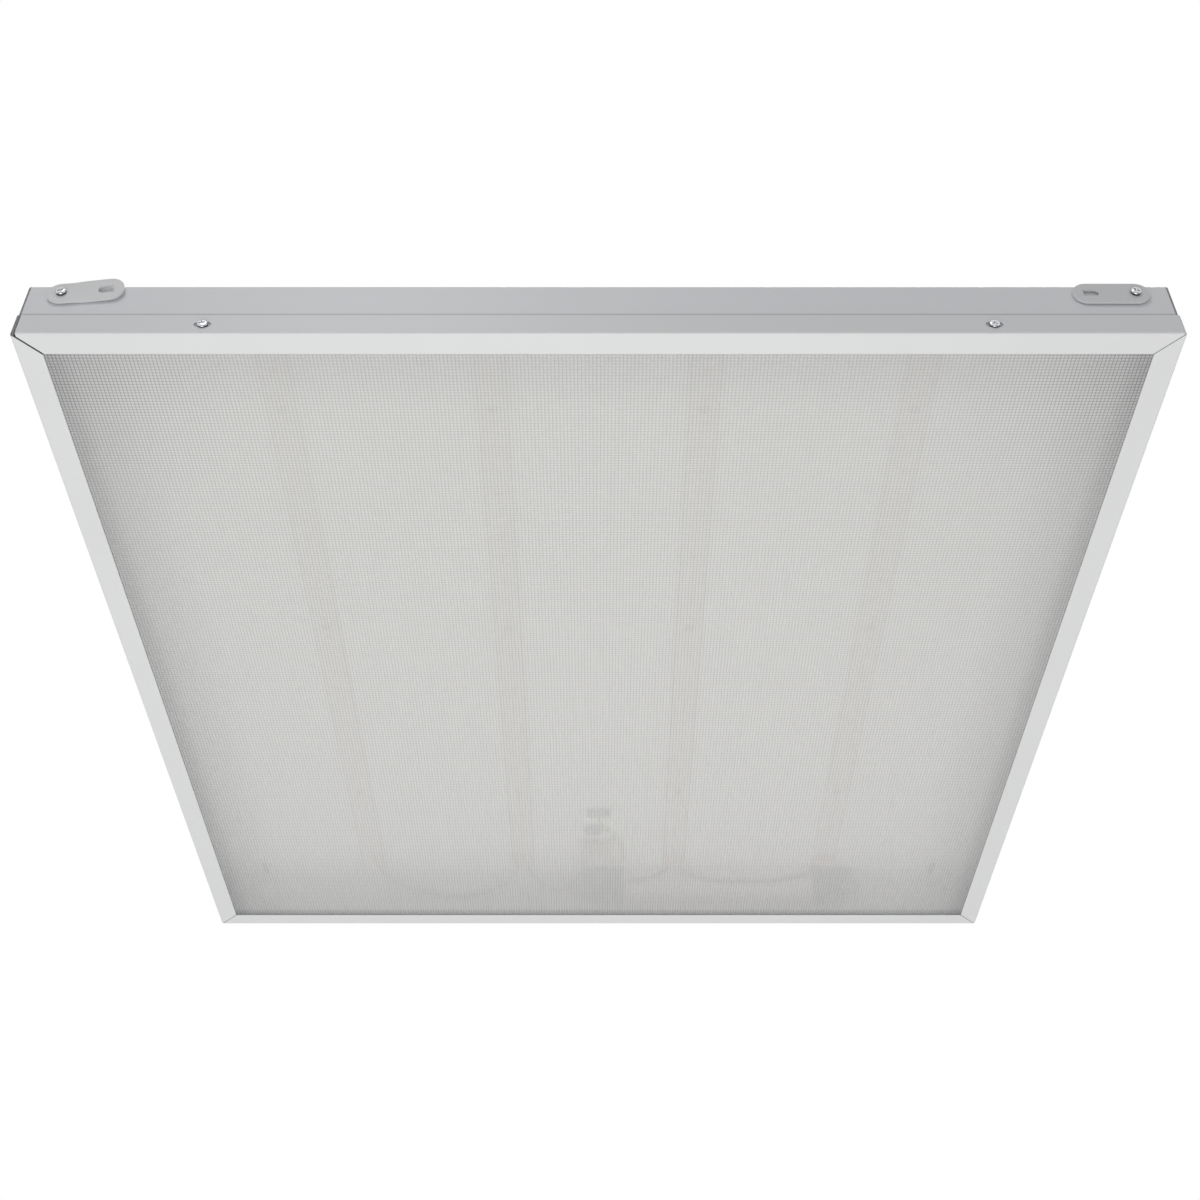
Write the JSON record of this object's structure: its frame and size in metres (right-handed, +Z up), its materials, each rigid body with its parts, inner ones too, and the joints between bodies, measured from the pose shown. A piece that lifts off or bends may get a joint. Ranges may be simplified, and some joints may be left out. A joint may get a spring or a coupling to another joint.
{
  "type": "recessed troffer light",
  "caption": "Square lay-in ceiling light: folded white tray, L-section front frame, prismatic diffuser, LED boards, driver and swivel ears on two walls.",
  "frame": {"origin": "middle of the visible front face, at the lowest point of the light as it hangs", "axes": "+Z up into the ceiling, -Y towards the wall that faces the camera, +X right in the picture"},
  "size_m": [0.5976, 0.6018, 0.0414],
  "materials": {
    "tray_paint": "white powder coat",
    "frame_paint": "white powder coat",
    "ear_paint": "white powder coat",
    "diffuser_plastic": "clear prismatic acrylic with a fine lattice of prisms",
    "rivet_aluminium": "plain",
    "driver_white": "moulded",
    "driver_cap_black": "moulded",
    "circuit_board": "green mask",
    "component_black": "moulded",
    "board_mask": "white solder mask on an aluminium core",
    "chip_phosphor": "yellow phosphor in a white cup",
    "connector_white": "moulded",
    "terminal_plastic": "moulded",
    "terminal_brass": "plain",
    "grommet_rubber": "moulded",
    "lead_insulation": "smooth, in black, brown, blue and green with yellow",
    "zinc": "zinc plated",
    "screw_steel": "nickel plated"
  },
  "bodies": {
    "housing": {"housing_tray": "tray_paint", "front_frame": "frame_paint", "diffuser": "diffuser_plastic", "board_rivets": "rivet_aluminium", "driver_case": "driver_white", "driver_cover": "driver_white", "driver_board": "circuit_board", "driver_components": "component_black", "driver_cap_input": "driver_cap_black", "driver_cap_output": "driver_cap_black", "driver_screws": "zinc", "terminal_block": "terminal_plastic", "terminal_screws": "terminal_brass", "cable_grommet": "grommet_rubber", "earth_clamp": "zinc", "earth_screws": "zinc", "internal_leads": "lead_insulation", "frame_screws_near": "screw_steel", "frame_screws_right": "screw_steel", "frame_screws_far": "screw_steel", "frame_screws_left": "screw_steel", "ear_screw_near_left": "screw_steel", "ear_screw_near_right": "screw_steel", "ear_screw_far_right": "screw_steel", "ear_screw_far_left": "screw_steel", "ear_washers": "zinc", "led_board_1": "board_mask", "led_chips_1": "chip_phosphor", "board_connectors_1": "connector_white", "led_board_2": "board_mask", "led_chips_2": "chip_phosphor", "board_connectors_2": "connector_white", "led_board_3": "board_mask", "led_chips_3": "chip_phosphor", "board_connectors_3": "connector_white", "led_board_4": "board_mask", "led_chips_4": "chip_phosphor", "board_connectors_4": "connector_white"},
    "ear_near_left_body": {"ear_near_left": "ear_paint"},
    "ear_near_right_body": {"ear_near_right": "ear_paint"},
    "ear_far_right_body": {"ear_far_right": "ear_paint"},
    "ear_far_left_body": {"ear_far_left": "ear_paint"}
  },
  "joints": [
    {"name": "ear_near_left_pivot", "type": "hinge", "parent": "housing", "child": "ear_near_left_body", "pos_m": [-0.2776, -0.2981, 0.031], "axis": [0, -1, 0], "range_deg": [-25.5, 192.5]},
    {"name": "ear_near_right_pivot", "type": "hinge", "parent": "housing", "child": "ear_near_right_body", "pos_m": [0.2776, -0.2981, 0.031], "axis": [0, 1, 0], "range_deg": [-19, 199]},
    {"name": "ear_far_right_pivot", "type": "hinge", "parent": "housing", "child": "ear_far_right_body", "pos_m": [0.2776, 0.2981, 0.031], "axis": [0, 1, 0], "range_deg": [-19, 199]},
    {"name": "ear_far_left_pivot", "type": "hinge", "parent": "housing", "child": "ear_far_left_body", "pos_m": [-0.2776, 0.2981, 0.031], "axis": [0, -1, 0], "range_deg": [-19, 199]}
  ]
}
